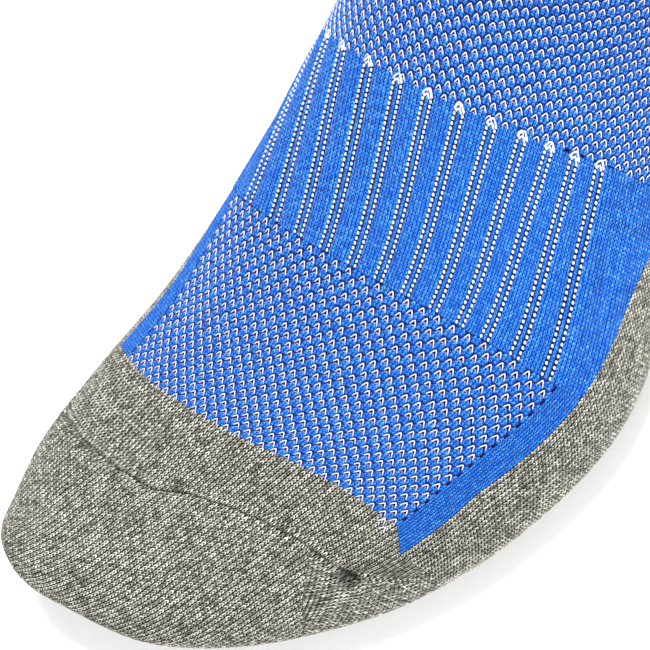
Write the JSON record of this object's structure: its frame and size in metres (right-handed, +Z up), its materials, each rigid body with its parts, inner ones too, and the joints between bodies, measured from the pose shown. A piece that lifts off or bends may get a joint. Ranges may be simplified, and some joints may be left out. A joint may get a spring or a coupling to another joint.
{
  "type": "hiking sock",
  "caption": "Cushioned crew hiking sock for a left foot in its worn shape: grey toe, sole and heel, blue mesh top, ribbed arch band, folded cuff.",
  "frame": {"origin": "on the floor plane under the sole, below the ankle-side origin of the last: x = 0 is the middle line of the foot, y = 0 lies 8 mm in front of the ankle axis, z = 0 is the flat of the sole", "axes": "+Z up from the sole, toes point along -Y, +X is the outer (little toe) side of this left sock"},
  "size_m": [0.1044, 0.3349, 0.2491],
  "materials": {
    "grey": "marled cushioned knit",
    "terry": "terry loops",
    "blue_mesh": "eyelet mesh knit with white loops",
    "blue_knit": "plain fine rib knit",
    "blue_rib": "ribbed knit",
    "elastic": "covered elastic yarn"
  },
  "bodies": {
    "toes": {"toe_cap_pocket": "grey", "toe_cap_top": "grey", "toe_seam": "grey", "toe_cushion": "terry"},
    "foot": {"forefoot_mesh_panel": "blue_mesh", "side_strip_outer": "blue_knit", "side_strip_inner": "blue_knit", "arch_band": "blue_rib", "instep_mesh_panel": "blue_mesh", "sole_panel": "grey", "heel_cup": "grey", "sole_cushion": "terry", "heel_cushion": "terry", "ankle_front_panel": "blue_mesh", "ankle_back_panel": "grey"},
    "leg": {"leg_front_panel": "blue_mesh", "leg_back_panel": "blue_rib", "cuff_welt": "blue_rib", "cuff_elastic": "elastic"}
  },
  "joints": [
    {"name": "ankle_flex", "type": "hinge", "parent": "foot", "child": "leg", "pos_m": [0, 0.008, 0.077], "axis": [1, 0, 0], "range_deg": [-12, 38], "stiffness_Nm_per_rad": 1.2, "deforming": ["ankle_front_panel", "ankle_back_panel"]},
    {"name": "toe_flex", "type": "hinge", "parent": "foot", "child": "toes", "pos_m": [0, -0.128, 0.014], "axis": [-1, 0, 0], "range_deg": [-8, 30], "stiffness_Nm_per_rad": 0.5, "deforming": ["forefoot_mesh_panel", "side_strip_outer", "side_strip_inner", "sole_panel", "sole_cushion"]}
  ]
}
